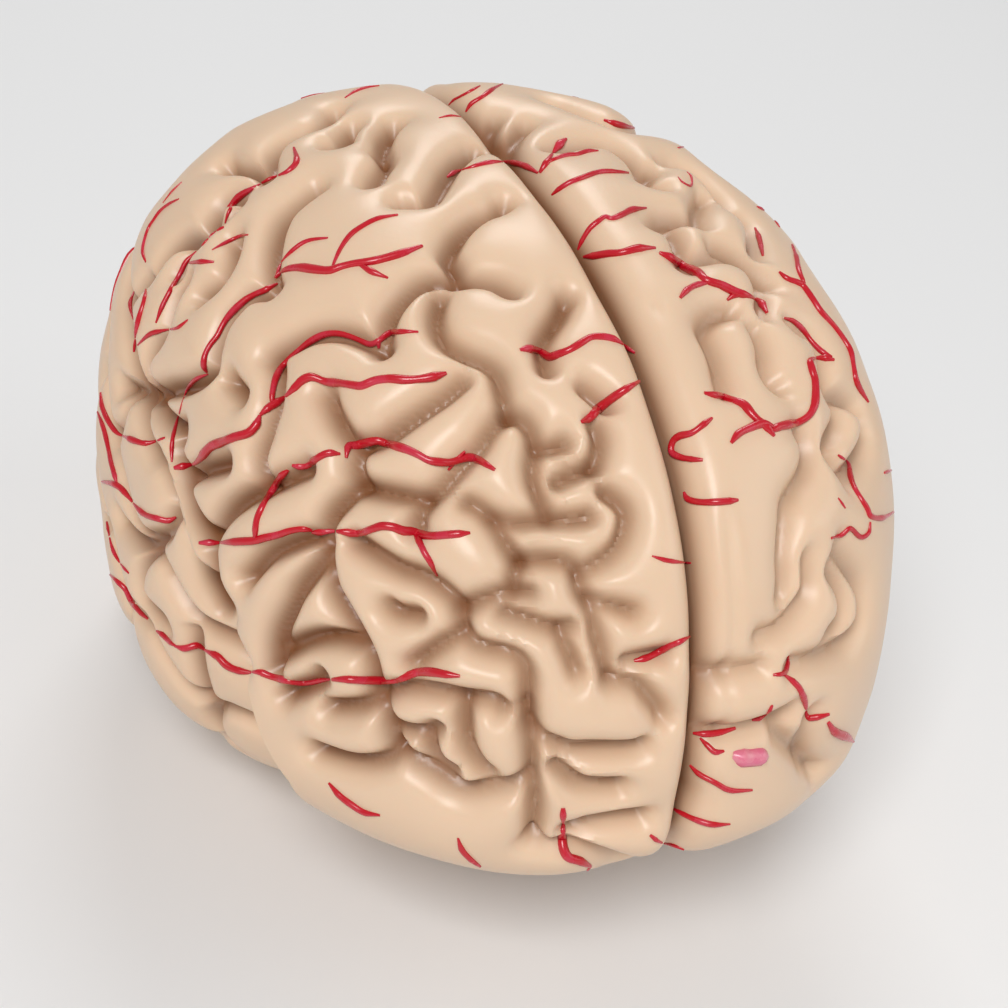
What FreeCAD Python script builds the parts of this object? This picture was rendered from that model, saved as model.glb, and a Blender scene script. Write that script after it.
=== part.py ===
import FreeCAD, Part
import math
import os

os.makedirs("parts", exist_ok=True)

# Take-apart anatomy model of a human brain at life size, in millimetres.
# X runs from the right half to the left half, the front looks along -Y and Z is up.
# Shapes are drawn about the section centre, in the plane between the halves, then moved to stand on z = 0.

# Reach of the cast form from the section centre
front_reach = 92.0
back_reach = 76.0
crown_reach = 72.0
underside_reach = 30.0
half_width = 65.5
front_narrowing = 0.17
back_narrowing = 0.08
crown_squareness = 2.5
underside_squareness = 2.2
width_squareness = 2.6

# Reach of the temporal part, where it differs
temporal_front_reach = 54.0
temporal_depth = 47.0
stand_depth = 46.0

# Gaps between the parts
midline_gap = 1.0
part_gap = 0.3
stem_gap = 0.5

# Carved relief
edge_drop = 3.2
edge_reach = 5.0
groove_half_width = 4.6
right_groove_depth = 3.0
left_groove_depth = 1.9

# Central keel of the frontoparietal part, which the stem and the temporal part are pinned to
keel_half_width = 15.4
keel_back = 46.7
stem_recess_front = -20.0
stem_recess_top = -10.5

# Cerebellum
cerebellum_middle = 48.0
cerebellum_half_length = 27.0
cerebellum_half_width = 49.0
cerebellum_top = -12.0
cerebellum_levels = 17
leaf_depth = 1.3

# Locating pins
pin_radius = 2.0
pin_running_gap = 0.05
pin_end_gap = 0.5
midline_pin_hold = 9.0
midline_pin_reach = 7.0
temporal_pin_hold = 7.0
temporal_pin_reach = 9.0
stem_pin_hold = 9.0
stem_pin_reach = 7.0
cerebellum_pin_hold = 8.0
cerebellum_pin_reach = 7.0

midline_pins = {"front": (-44.0, 18.0), "crown": (-8.0, 44.0), "rear": (34.0, 22.0)}
temporal_pins = {"front": (-30.0, -12.0), "rear": (14.0, 8.0)}
stem_pin = (7.0, 4.0)
cerebellum_pins = {"inner": (15.0, 56.0), "outer": (32.0, 52.0)}

# Line of the lateral fissure and the back parting, as distance behind and above the section centre
parting_line = (
    (-57.0, -8.0), (-46.0, 8.0), (-37.0, 15.0), (-29.0, 17.0), (-15.0, 25.0), (-7.0, 26.0),
    (15.0, 34.0), (40.0, 38.0), (55.0, 52.0), (66.0, 60.0), (90.0, 66.0),
)
# Underside of the temporal part, from the back to the front
tentorium_line = ((90.0, -10.0), (28.0, -12.0), (26.0, -14.0), (4.0, -46.0), (0.0, -70.0))
below_all = -70.0
beyond_all = 90.0

# Grooves traced on the reference view, in its picture units, thrown along the line of sight
view_turn = math.radians(-26.52)
view_rise = math.radians(32.92)
view_roll = math.radians(7.1)
view_distance = 362.0
view_shift = (7.03, -0.92)
picture_middle = 504.0
picture_units = 1960.0

right_view_grooves = (
    ((263, 281), (262, 247), (275, 208), (312, 178)),
    ((263, 281), (228, 300), (203, 350), (188, 375), (136, 393)),
    ((165, 292), (152, 330), (134, 378), (168, 431)),
    ((203, 207), (181, 230), (151, 255)),
    ((259, 169), (266, 142), (295, 123), (333, 98)),
    ((369, 171), (384, 145), (381, 130), (393, 111)),
    ((400, 192), (425, 191), (449, 155), (475, 136)),
    ((262, 352), (286, 335), (323, 323), (376, 338)),
    ((376, 340), (385, 302), (408, 275), (459, 266)),
    ((459, 266), (447, 241), (478, 204), (506, 190)),
    ((437, 283), (434, 316), (483, 350), (507, 404)),
    ((507, 404), (537, 437), (533, 456), (549, 515)),
    ((462, 500), (498, 518), (549, 516), (595, 513)),
    ((505, 405), (463, 454), (419, 498), (409, 527)),
    ((419, 498), (347, 484), (351, 441), (420, 401), (460, 371)),
    ((347, 484), (312, 530), (301, 571), (260, 655)),
    ((351, 441), (322, 406), (318, 390)),
    ((311, 547), (332, 616), (362, 680), (389, 761)),
    ((389, 761), (340, 770), (307, 759)),
    ((389, 761), (445, 798), (525, 793)),
    ((364, 703), (405, 697), (500, 720)),
    ((458, 709), (462, 759), (484, 785)),
    ((345, 543), (414, 579), (452, 613), (453, 640), (405, 672)),
    ((455, 638), (516, 667), (526, 701), (528, 737), (555, 757), (650, 756)),
    ((526, 735), (532, 800), (529, 855)),
    ((487, 518), (517, 563), (570, 563), (601, 637), (616, 690)),
    ((616, 690), (659, 708), (672, 729)),
    ((582, 577), (617, 554), (635, 511), (629, 499)),
    ((500, 617), (534, 628), (563, 634), (580, 682)),
    ((570, 284), (545, 331), (549, 358)),
    ((262, 352), (262, 405), (246, 461), (247, 488)),
    ((245, 490), (206, 524), (200, 538)),
    ((232, 583), (268, 550), (300, 539)),
    ((168, 431), (166, 465), (188, 532), (199, 570), (215, 612)),
)
left_view_grooves = (
    ((740, 299), (712, 319), (730, 370)),
    ((704, 245), (742, 249), (774, 286)),
    ((764, 318), (776, 356), (791, 380)),
    ((711, 184), (705, 210)),
    ((697, 207), (668, 206), (691, 255)),
    ((497, 118), (505, 138), (527, 110)),
    ((556, 136), (608, 133), (650, 160)),
    ((556, 93), (603, 112), (655, 124)),
    ((672, 153), (716, 177), (748, 205), (765, 243)),
    ((803, 316), (835, 358), (841, 388)),
    ((877, 430), (876, 448), (858, 474)),
    ((812, 425), (822, 456), (801, 502), (795, 600)),
    ((852, 548), (875, 607), (845, 659), (803, 671)),
    ((822, 560), (815, 608), (772, 641)),
    ((722, 746), (777, 733), (803, 718)),
    ((791, 727), (812, 762), (829, 779)),
    ((672, 786), (695, 812)),
)
# Grooves out of that view, as degrees over the crown from the front and share of the half width
back_grooves = (
    ((104, 14), (106, 34), (98, 58), (92, 78)),
    ((118, 6), (120, 28), (114, 52), (104, 74), (100, 90)),
    ((134, 10), (138, 32), (130, 54), (120, 76)),
    ((150, 6), (152, 28), (146, 50), (132, 72)),
    ((166, 12), (162, 36), (166, 60), (150, 80)),
    ((182, 8), (180, 34), (186, 58), (176, 82)),
    ((126, 20), (142, 24), (158, 20)),
    ((110, 44), (124, 42), (140, 44)),
)
# Grooves on the outer side, as distance behind and above the section centre
side_grooves = (
    ((-4, 34), (4, 46), (2, 60)),
    ((12, 38), (22, 50), (20, 64)),
    ((30, 40), (36, 52), (52, 60)),
    ((-66, 6), (-58, 18), (-50, 26)),
    ((-74, -6), (-62, -12), (-60, -26)),
)
temporal_grooves = (
    ((-46, -4), (-28, 4), (-8, 10), (14, 18), (34, 26)),
    ((-44, -20), (-26, -14), (-4, -8), (18, 0), (42, 6)),
    ((-34, -36), (-14, -30), (8, -24)),
    ((44, 36), (52, 22), (50, 6)),
    ((60, 44), (64, 28), (70, 12), (66, -4)),
    ((-20, 18), (-14, 10)),
    ((6, 27), (10, 16)),
)


class Form:
    """Squared oval that the parts of one half are carved from."""

    def __init__(self, front, underside, rings, sectors):
        self.front = front
        self.underside = underside
        self.rings = rings
        self.sectors = sectors

    def radius(self, angle):
        along = self.front if math.cos(angle) > 0 else back_reach
        if math.sin(angle) > 0:
            up, power = crown_reach, crown_squareness
        else:
            up, power = self.underside, underside_squareness
        share = (abs(math.cos(angle)) / along) ** power + (abs(math.sin(angle)) / up) ** power
        return share ** (-1.0 / power)

    def width(self, y):
        ahead = min(max(-y / front_reach, 0.0), 1.2)
        behind = min(max(y / back_reach, 0.0), 1.2)
        return half_width * (1.0 - front_narrowing * ahead ** 2 - back_narrowing * behind ** 2)

    def point(self, angle, outward, side):
        power = width_squareness
        rho = self.radius(angle) * (1.0 - outward ** power) ** (1.0 / power)
        y = -rho * math.cos(angle)
        x = midline_gap / 2 + outward * (self.width(y) - midline_gap / 2)
        return FreeCAD.Vector(side * x, y, rho * math.sin(angle))

    def level(self, p):
        angle = math.atan2(p.z, -p.y)
        inward = math.hypot(p.y, p.z) / self.radius(angle)
        return inward ** width_squareness + (abs(p.x) / self.width(p.y)) ** width_squareness

    def hit(self, start, direction, reach):
        """First point of the form on a line, or the nearest one where the line passes beside it."""
        steps = 160
        best = start
        best_level = self.level(start)
        for step in range(steps + 1):
            p = start + direction * (reach * step / steps)
            level = self.level(p)
            if level < best_level:
                best, best_level = p, level
            if level < 1.0:
                near, far = reach * (step - 1) / steps, reach * step / steps
                for _ in range(12):
                    middle = (near + far) / 2
                    if self.level(start + direction * middle) < 1.0:
                        far = middle
                    else:
                        near = middle
                return start + direction * far
        return best * (best_level ** (-1.0 / width_squareness))


def view_axes():
    """Right, up and backward directions of the reference view, and the place it is seen from."""
    back = FreeCAD.Vector(math.sin(view_turn) * math.cos(view_rise),
                          -math.cos(view_turn) * math.cos(view_rise), math.sin(view_rise))
    level_right = FreeCAD.Vector(0, 0, 1).cross(back).normalize()
    level_up = back.cross(level_right)
    right = level_right * math.cos(view_roll) + level_up * math.sin(view_roll)
    up = level_up * math.cos(view_roll) - level_right * math.sin(view_roll)
    eye = back * view_distance + right * view_shift[0] + up * view_shift[1]
    return right, up, back, eye


def traced(form, path):
    right, up, back, eye = view_axes()
    points = []
    for across, down in path:
        sight = right * ((across - picture_middle) / picture_units)
        sight = sight - up * ((down - picture_middle) / picture_units) - back
        points.append(form.hit(eye, sight.normalize(), 2 * view_distance))
    return points


def over_crown(form, path, side):
    return [form.point(math.radians(angle), share / 100.0, side) for angle, share in path]


def on_side(form, path, side):
    outside = 2 * half_width
    inward = FreeCAD.Vector(-side, 0, 0)
    return [form.hit(FreeCAD.Vector(side * outside, y, z), inward, outside) for y, z in path]


def distance(p, a, b):
    run = b - a
    share = min(max((p - a).dot(run) / max(run.dot(run), 1e-9), 0.0), 1.0)
    return (p - a - run * share).Length


def carve_depth(p, grooves, depth):
    """Depth of the relief at a point: rounded towards each groove and towards the midline edge."""
    nearest = groove_half_width
    for path in grooves:
        if (p - path[0]).Length > 110:
            continue
        for a, b in zip(path, path[1:]):
            nearest = min(nearest, distance(p, a, b))
    share = 1.0 - nearest / groove_half_width
    edge = edge_drop * math.exp(-((abs(p.x) - midline_gap / 2) / edge_reach) ** 1.3)
    return max(depth * share ** 0.8, edge) if share > 0 else edge


def outward_normal(form, p):
    small = 0.05
    slope = []
    for axis in (FreeCAD.Vector(small, 0, 0), FreeCAD.Vector(0, small, 0), FreeCAD.Vector(0, 0, small)):
        slope.append(form.level(p + axis) - form.level(p - axis))
    return FreeCAD.Vector(*slope).normalize()


def closed_solid(triangles, polygons):
    faces = []
    for corners in triangles + polygons:
        faces.append(Part.Face(Part.makePolygon(corners + [corners[0]])))
    shell = Part.makeShell(faces)
    shell.sewShape()
    solid = Part.Solid(shell if shell.ShapeType == "Shell" else shell.Shells[0])
    if solid.Volume < 0:
        solid.reverse()
    return solid


def carved_half(form, side, grooves, depth):
    """One half of a form: rings of points from the outer side to the flat midline face."""
    rings = []
    for ring in range(form.rings + 1):
        turn = math.pi / 2 * ring / form.rings
        outward = math.cos(turn) ** (2.0 / width_squareness) if ring < form.rings else 0.0
        count = max(form.sectors * ring, 1)
        points = []
        for place in range(count):
            p = form.point(2 * math.pi * place / count, min(outward, 1.0), side)
            move = outward_normal(form, p) * carve_depth(p, grooves, depth)
            if ring == form.rings:
                move.x = 0.0
            points.append(p - move)
        rings.append(points)
    triangles = []
    for ring in range(1, form.rings + 1):
        outer, inner = rings[ring], rings[ring - 1]
        for sector in range(form.sectors):
            for place in range(ring):
                a = outer[sector * ring + place]
                b = outer[(sector * ring + place + 1) % len(outer)]
                c = inner[(sector * (ring - 1) + place) % len(inner)]
                triangles.append([a, b, c])
                if place < ring - 1:
                    d = inner[(sector * (ring - 1) + place + 1) % len(inner)]
                    triangles.append([c, b, d])
    return closed_solid(triangles, [rings[-1]])


def prism(outline, inner, outer, side):
    """Solid with an outline in the side view, between two distances from the midline plane."""
    corners = [FreeCAD.Vector(side * inner, y, z) for y, z in outline]
    face = Part.Face(Part.makePolygon(corners + [corners[0]]))
    return face.extrude(FreeCAD.Vector(side * (outer - inner), 0, 0))


def slab(y_low, y_high, z_low, z_high, inner, outer, side):
    outline = ((y_low, z_low), (y_low, z_high), (y_high, z_high), (y_high, z_low))
    return prism(outline, inner, outer, side)


def skinned(rings):
    """Closed solid through a stack of flat rings with the same number of points."""
    triangles = []
    for lower, upper in zip(rings, rings[1:]):
        count = len(lower)
        for place in range(count):
            after = (place + 1) % count
            triangles.append([lower[place], lower[after], upper[place]])
            triangles.append([lower[after], upper[after], upper[place]])
    return closed_solid(triangles, [rings[0], rings[-1]])


def half_ring(side, z, middle, half_length, half_across, count):
    ring = []
    for place in range(count + 1):
        turn = math.pi * (place / count - 0.5)
        x = midline_gap / 2 + half_across * math.cos(turn) if 0 < place < count else midline_gap / 2
        ring.append(FreeCAD.Vector(side * x, middle + half_length * math.sin(turn), z))
    return ring


def rod(start, direction, length, radius):
    return Part.makeCylinder(radius, length, start, direction)


def parting_below(raise_by):
    return [(y, z + raise_by) for y, z in parting_line]


def frontoparietal_lobe(side, form, grooves, depth):
    """Upper part of a half: frontal and parietal lobes with the central keel under them."""
    lobe = carved_half(form, side, grooves, depth)
    line = parting_below(part_gap)
    line[0] = (line[0][0] - part_gap, line[0][1])
    below = [(line[0][0], below_all)] + line + [(beyond_all, below_all)]
    lobe = lobe.cut(prism(below, keel_half_width, beyond_all, side))
    behind = prism(below, 0.0, keel_half_width + 1, side)
    behind = behind.cut(slab(-beyond_all, keel_back, below_all, beyond_all, 0.0, keel_half_width + 2, side))
    lobe = lobe.cut(behind)
    recess = slab(stem_recess_front, beyond_all, below_all, stem_recess_top, 0.0, keel_half_width + 1, side)
    return lobe.cut(recess)


def temporo_occipital_lobe(side, form, grooves, depth):
    """Lower outer part of a half: temporal lobe and, behind the keel, the occipital lobe."""
    lobe = carved_half(form, side, grooves, depth)
    outline = [(parting_line[0][0], below_all)] + list(parting_line) + list(tentorium_line)
    lobe = lobe.common(prism(outline, 0.0, beyond_all, side))
    keel = slab(-beyond_all, keel_back + part_gap, below_all, beyond_all, 0.0, keel_half_width + part_gap, side)
    lobe = lobe.cut(keel)
    return lobe.cut(slab(-beyond_all, beyond_all, below_all, -stand_depth, 0.0, beyond_all, side))


def brainstem_half(side):
    """Midbrain, pons and medulla, cut flat at the lower end."""
    top = stem_recess_top - part_gap
    stations = (
        (-stand_depth, 12.0, 6.0, 6.0), (-41.0, 11.0, 6.5, 7.0), (-36.0, 9.0, 7.5, 8.5),
        (-33.5, 5.0, 11.5, 11.0), (-28.5, 3.0, 13.5, 12.6), (-22.5, 3.0, 13.5, 12.6),
        (-18.5, 5.0, 11.0, 11.2), (-16.0, 7.0, 9.5, 9.5), (top, 8.0, 9.5, 10.0),
    )
    return skinned([half_ring(side, z, middle, along, across, 12) for z, middle, along, across in stations])


def cerebellum_half(side):
    """Flattened oval with level leaf grooves round it."""
    half_height = (cerebellum_top + stand_depth) / 2
    middle_height = cerebellum_top - half_height
    rings = []
    for level in range(cerebellum_levels + 1):
        rise = (2.0 * level / cerebellum_levels - 1.0) * 0.985
        size = (1.0 - abs(rise) ** 2.4) ** (1 / 2.4)
        if level % 2:
            size = size - leaf_depth / cerebellum_half_length
        z = middle_height + half_height * rise / 0.985
        across = cerebellum_half_width * size
        rings.append(half_ring(side, z, cerebellum_middle, cerebellum_half_length * size, across, 20))
    return skinned(rings)


def write(name, shape):
    lift = FreeCAD.Vector(0, (front_reach - back_reach) / 2, stand_depth)
    moved = shape.translated(lift)
    print(name, moved.isValid(), len(moved.Solids), len(moved.Faces), round(moved.Volume / 1000, 1))
    moved.exportStep("parts/" + name + ".step")


def pinned_along_x(holder, slider, side, places, face_x, hold, reach):
    """Pins along X: glued in the holder at face_x, running in the slider beyond it."""
    pins = {}
    for name, (y, z) in places.items():
        out = FreeCAD.Vector(side, 0, 0)
        start = FreeCAD.Vector(side * (face_x - hold), y, z)
        pins[name] = rod(start, out, hold + reach, pin_radius)
        holder = holder.cut(rod(start, out, hold + 1, pin_radius))
        bore_start = FreeCAD.Vector(side * (face_x - 1), y, z)
        slider = slider.cut(rod(bore_start, out, reach + 1 + pin_end_gap, pin_radius + pin_running_gap))
    return holder, slider, pins


def pinned_up(holder, slider, x, y, face_z, hold, reach):
    """An upright pin: glued in the holder below face_z, running in the slider above it."""
    up = FreeCAD.Vector(0, 0, 1)
    start = FreeCAD.Vector(x, y, face_z - hold)
    pin = rod(start, up, hold + reach, pin_radius)
    bore = rod(FreeCAD.Vector(x, y, face_z - 1), up, reach + 1 + pin_end_gap, pin_radius + pin_running_gap)
    return holder.cut(rod(start, up, hold + 6, pin_radius)), slider.cut(bore), pin


upper_form = Form(front_reach, underside_reach, 25, 5)
lower_form = Form(temporal_front_reach, temporal_depth, 20, 5)
halves = {"right": (-1, right_view_grooves, right_groove_depth), "left": (1, left_view_grooves, left_groove_depth)}

uppers = {}
for name, (side, view_grooves, depth) in halves.items():
    upper_grooves = [traced(upper_form, path) for path in view_grooves]
    upper_grooves += [over_crown(upper_form, path, side) for path in back_grooves]
    upper_grooves += [on_side(upper_form, path, side) for path in side_grooves]
    upper_grooves.append(on_side(upper_form, parting_line[1:-1], side))
    lower_grooves = [on_side(lower_form, path, side) for path in temporal_grooves]
    lower_grooves += [over_crown(lower_form, path, side) for path in back_grooves]
    lower_grooves.append(on_side(lower_form, parting_line[1:-1], side))

    upper = frontoparietal_lobe(side, upper_form, upper_grooves, depth)
    lower = temporo_occipital_lobe(side, lower_form, lower_grooves, depth)
    upper, lower, pins = pinned_along_x(upper, lower, side, temporal_pins, keel_half_width,
                                        temporal_pin_hold, temporal_pin_reach + part_gap)
    for place, pin in pins.items():
        write(name + "_temporal_pin_" + place, pin)

    stem = brainstem_half(side)
    stem, upper, pin = pinned_up(stem, upper, side * stem_pin[0], stem_pin[1],
                                 stem_recess_top, stem_pin_hold, stem_pin_reach)
    write(name + "_brainstem_pin", pin)
    write(name + "_brainstem_half", stem)

    cerebellum = cerebellum_half(side)
    for place, (x, y) in cerebellum_pins.items():
        cerebellum, lower, pin = pinned_up(cerebellum, lower, side * x, y, cerebellum_top,
                                           cerebellum_pin_hold, cerebellum_pin_reach)
        write(name + "_cerebellum_pin_" + place, pin)
    write(name + "_cerebellum_half", cerebellum)
    write(name + "_temporo_occipital_lobe", lower)
    uppers[name] = upper

right, left, pins = pinned_along_x(uppers["right"], uppers["left"], 1, midline_pins, -midline_gap / 2,
                                   midline_pin_hold, midline_pin_reach + midline_gap)
write("right_frontoparietal_lobe", right)
write("left_frontoparietal_lobe", left)
for place, pin in pins.items():
    write("midline_pin_" + place, pin)
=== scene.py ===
import math

import bmesh
import bpy
import numpy as np
from mathutils import Matrix, Vector, noise
from mathutils.bvhtree import BVHTree


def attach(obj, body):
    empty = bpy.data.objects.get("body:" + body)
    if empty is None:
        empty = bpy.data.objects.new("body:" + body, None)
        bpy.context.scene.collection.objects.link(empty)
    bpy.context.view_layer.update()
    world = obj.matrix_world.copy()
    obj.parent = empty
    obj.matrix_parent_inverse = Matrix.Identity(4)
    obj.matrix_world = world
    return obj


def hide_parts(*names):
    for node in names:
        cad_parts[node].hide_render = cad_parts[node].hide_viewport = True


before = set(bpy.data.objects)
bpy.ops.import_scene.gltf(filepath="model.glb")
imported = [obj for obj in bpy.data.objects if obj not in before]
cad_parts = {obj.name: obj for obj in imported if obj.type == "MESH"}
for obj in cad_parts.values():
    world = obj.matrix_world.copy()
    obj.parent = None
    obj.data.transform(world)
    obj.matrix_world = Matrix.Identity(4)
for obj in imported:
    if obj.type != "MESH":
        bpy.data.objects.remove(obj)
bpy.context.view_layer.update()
print("frame loaded")

# Lengths below are millimetres about the section centre, which lies between the halves
castForm = {
    "front": 92.0, "back": 76.0, "crown": 72.0, "underside": 30.0, "halfWidth": 65.5,
    "frontNarrowing": 0.17, "backNarrowing": 0.08, "crownPower": 2.5, "undersidePower": 2.2,
    "widthPower": 2.6, "midlineGap": 1.0, "standDepth": 46.0,
    "around": 620, "outwards": 160,
}
temporalForm = dict(castForm, front=54.0, underside=47.0, depthShare=0.85, fineness=0.9)
# How the folds are carved; shares are of the groove's depth
relief = {
    "lineWidth": 1.3, "linePower": 1.6, "shoulderPower": 1.3, "broad": 7.0, "broadShare": 0.13, "broadPower": 1.6,
    "floorRound": 0.5, "blend": 4, "reachShare": 2.2, "edgeDrop": 5.4, "edgeReach": 1.9, "edgePower": 1.2,
    "edgeHold": 0.5, "swell": 0.5, "swellSize": 16.0, "swellSink": 0.5, "smoothPasses": 2, "smoothShare": 0.4,
    # The radius and limit for the depth record set the painted shade in the grooves, not the carving
    "paintedShadeRadius": 62, "paintedShadeLimit": 12, "sharpAngle": 50,
}
rightCarving = {"depth": 5.6, "line": 0.58, "shoulder": 2.5, "fineness": 1.18}
leftCarving = {"depth": 4.8, "line": 0.44, "shoulder": 2.9, "fineness": 1.0}
strengths = {"temporal": 0.9, "back": 0.9, "valley": 1.4, "parting": 1.1}
# The fine casting seam beside the midline: degrees over the crown, share of the half width in hundredths
seam = {"path": [(54, 7.2), (27, 7.6), (9, 7.2)], "parts": 30, "band": 4, "depth": 1.0, "width": 0.9}
# Where the castings are cut apart; inner, outer, under and far are the reach of the cutters
parts = {
    "keelHalfWidth": 15.4, "keelBack": 46.7, "stemFront": -20.0, "stemTop": -10.5, "partGap": 0.3,
    "inner": -5, "outer": 90, "under": -70, "far": 100,
}
finding = {
    "steps": 700, "halvings": 14, "reach": 1.6, "slopeStep": 0.05, "ringSamples": 3000, "sectionRadius": 80,
    "besideAcross": 235, "besideDown": 380,
}
view = {
    "turn": math.radians(-26.52), "rise": math.radians(32.92), "roll": math.radians(7.1),
    "distance": 362.0, "across": 7.03, "up": -0.92, "lens": 70.0, "sensor": 36.0, "picture": 1008,
}
centre = Vector((0.0, (castForm["front"] - castForm["back"]) / 2, castForm["standDepth"]))
partingLine = [
    (-57, -8), (-46, 8), (-37, 15), (-29, 17), (-15, 25), (-7, 26), (15, 34), (40, 38), (55, 52), (66, 60), (90, 66),
]
tentoriumLine = [(90, -10), (28, -12), (26, -14), (4, -46), (0, -70)]

# Grooves of the right half as seen in the picture
rightGrooves = [
    [(263, 281), (261, 266), (262, 247), (266, 227), (275, 208), (288, 195), (303, 184), (312, 178)],
    [(263, 281), (252, 283), (240, 288), (228, 300), (216, 315), (208, 332), (203, 350), (197, 368), (172, 382),
     (150, 387), (136, 393)],
    [(175, 275), (165, 292), (158, 310), (152, 330), (141, 345), (135, 362), (134, 378), (137, 394), (146, 410),
     (158, 424), (168, 431)],
    [(203, 207), (197, 216), (192, 227), (181, 230), (170, 234), (159, 244), (151, 255), (143, 268)],
    [(195, 226), (205, 219), (217, 209), (228, 198)],
    [(203, 207), (210, 196), (222, 187), (236, 183)],
    [(259, 169), (260, 155), (266, 142), (278, 132), (295, 123), (312, 116), (325, 107), (333, 98)],
    [(218, 155), (228, 157), (245, 157), (259, 160)],
    [(165, 268), (172, 256), (180, 244), (190, 234)],
    [(190, 291), (200, 283), (209, 275), (217, 262), (222, 247), (225, 232)],
    [(104, 335), (112, 315), (122, 296), (133, 278)],
    [(369, 172), (374, 163), (382, 152), (384, 145), (381, 138)],
    [(381, 138), (381, 130), (384, 120), (393, 111)],
    [(328, 133), (338, 132), (342, 122), (350, 113)],
    [(400, 192), (413, 192), (425, 191), (433, 181), (440, 170), (449, 155), (462, 143), (475, 136)],
    [(262, 352), (268, 345), (286, 335), (305, 326), (323, 323), (340, 324), (358, 330), (376, 338)],
    [(376, 340), (379, 318), (385, 302), (395, 288), (408, 275), (424, 266), (441, 263), (459, 266)],
    [(459, 266), (478, 267), (497, 271), (512, 279)],
    [(459, 266), (453, 252), (447, 241), (452, 228), (462, 215), (478, 204), (495, 198), (506, 190)],
    [(437, 283), (433, 300), (434, 316), (442, 330), (460, 341), (483, 350), (496, 360), (500, 373), (504, 391),
     (507, 404)],
    [(507, 404), (520, 406), (531, 419), (537, 437), (533, 456), (534, 475), (541, 494), (549, 515)],
    [(462, 500), (472, 504), (485, 513), (498, 518), (517, 520), (549, 516), (575, 516), (595, 513)],
    [(505, 405), (490, 421), (476, 442), (463, 454), (449, 470), (434, 487), (419, 498), (411, 512), (409, 527)],
    [(419, 498), (395, 494), (367, 489), (347, 484)],
    [(347, 484), (344, 468), (345, 452), (351, 441), (373, 434), (392, 421), (420, 401), (442, 386), (460, 371)],
    [(351, 441), (340, 435), (330, 422), (322, 406), (318, 390)],
    [(347, 484), (333, 498), (318, 515), (312, 530), (311, 547), (301, 571), (284, 595), (276, 612), (264, 638),
     (260, 655), (260, 676)],
    [(311, 547), (313, 566), (319, 592), (332, 616), (346, 641), (357, 662), (362, 680), (364, 698), (370, 715),
     (379, 730), (381, 748), (389, 761)],
    [(389, 761), (377, 770), (359, 773), (340, 770), (321, 764), (307, 759)],
    [(389, 761), (408, 774), (427, 786), (445, 798), (462, 803), (483, 802), (509, 798), (525, 793)],
    [(380, 734), (398, 741), (417, 744), (428, 739)],
    [(364, 703), (377, 701), (390, 697), (405, 697), (427, 700), (445, 704), (458, 709), (473, 709), (490, 712),
     (500, 720)],
    [(458, 709), (458, 738), (462, 759), (473, 776), (484, 785)],
    [(419, 752), (424, 765), (433, 776), (444, 783)],
    [(266, 660), (286, 650), (305, 645), (324, 645), (342, 650)],
    [(272, 703), (288, 697), (301, 692), (309, 684)],
    [(318, 716), (344, 716), (362, 711)],
    [(380, 612), (388, 618), (408, 621)],
    [(345, 543), (367, 558), (390, 571), (414, 579), (431, 590), (444, 601), (452, 613)],
    [(452, 613), (455, 627), (453, 640), (438, 649), (421, 660), (405, 672)],
    [(455, 638), (467, 650), (482, 656), (501, 660), (516, 667), (525, 682), (526, 701), (525, 719)],
    [(525, 719), (528, 737), (539, 750), (555, 757), (571, 762), (589, 762), (607, 762), (625, 762), (640, 760),
     (650, 756)],
    [(526, 735), (529, 755), (530, 778), (532, 800), (534, 822), (533, 842), (529, 855)],
    [(529, 855), (545, 859), (562, 860), (580, 862), (600, 867), (628, 871)],
    [(556, 781), (570, 791), (582, 798), (604, 800), (625, 799)],
    [(570, 843), (589, 838), (607, 835), (627, 832), (648, 829)],
    [(487, 518), (498, 535), (507, 550), (517, 563)],
    [(517, 563), (512, 578), (511, 593)],
    [(517, 563), (533, 560), (552, 560), (570, 563), (582, 575), (584, 591), (593, 606), (598, 620), (601, 637),
     (606, 655), (611, 675), (616, 690)],
    [(582, 577), (592, 570), (605, 562), (617, 554), (627, 542), (633, 527), (635, 511), (629, 499), (612, 486)],
    [(594, 603), (611, 608), (626, 611), (643, 616)],
    [(616, 690), (634, 692), (648, 696), (659, 708), (668, 719), (672, 729)],
    [(634, 669), (652, 665), (673, 661)],
    [(500, 617), (516, 622), (534, 628), (550, 633), (563, 634), (573, 632)],
    [(560, 636), (566, 650), (573, 664), (580, 682)],
    [(459, 612), (472, 606), (487, 601), (502, 596), (528, 595)],
    [(570, 284), (563, 299), (552, 316), (545, 331), (547, 346), (549, 358)],
    [(560, 476), (573, 469), (587, 463), (600, 458)],
    [(600, 458), (605, 445), (606, 428), (601, 414)],
    [(537, 438), (552, 438), (568, 434)],
    [(590, 378), (600, 386), (612, 395)],
    [(262, 352), (265, 368), (264, 388), (262, 405), (258, 418), (254, 432), (249, 446), (246, 461), (247, 488)],
    [(247, 488), (259, 484), (273, 477), (286, 471), (294, 467)],
    [(245, 490), (228, 500), (215, 511), (206, 524), (200, 538)],
    [(232, 583), (243, 569), (254, 558), (268, 550), (285, 543), (300, 539)],
    [(216, 376), (222, 384), (229, 393)],
    [(170, 482), (180, 472), (195, 467), (212, 462)],
    [(110, 386), (123, 390), (137, 394)],
]
lateralValley = [(168, 431), (163, 447), (166, 465), (170, 485), (177, 510), (188, 532), (196, 548), (199, 570),
                 (203, 590), (215, 612)]
rightTemporalGrooves = [
    [(110, 520), (118, 535), (128, 548), (143, 549)],
    [(143, 549), (133, 560), (130, 578), (131, 595), (140, 612), (155, 628)],
    [(186, 640), (188, 665), (194, 690), (203, 715)],
]
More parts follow.
